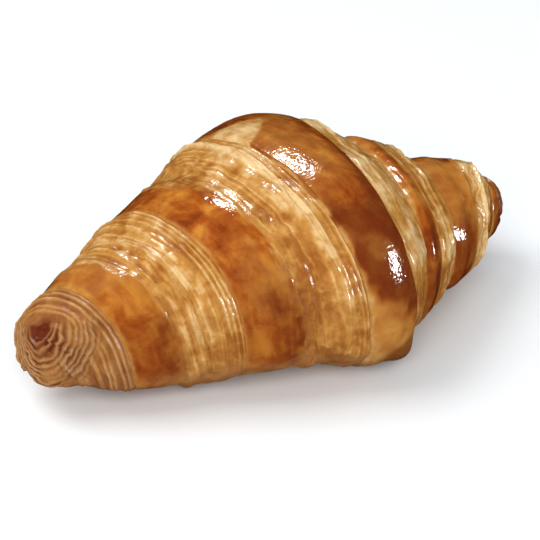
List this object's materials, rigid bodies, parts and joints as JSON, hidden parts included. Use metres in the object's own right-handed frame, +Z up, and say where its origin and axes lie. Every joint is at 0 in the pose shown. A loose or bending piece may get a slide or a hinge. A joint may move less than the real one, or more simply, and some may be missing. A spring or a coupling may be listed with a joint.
{
  "type": "mini butter croissant",
  "caption": "Small straight butter croissant: a rolled, laminated roll with helical bands, a wide centre flap and two blunt tips, resting on its flat underside.",
  "frame": {"origin": "middle of the footprint, on the surface the croissant rests on", "axes": "+X along the roll towards its slimmer tip, +Z up, the front of the bands faces -Y"},
  "size_m": [0.0928, 0.0528, 0.0355],
  "materials": {
    "crust": "baked laminated dough with an egg wash: glossy amber brown over the bands, paler and matte in the layers between them"
  },
  "bodies": {
    "root": {"croissant": "crust"}
  },
  "joints": []
}
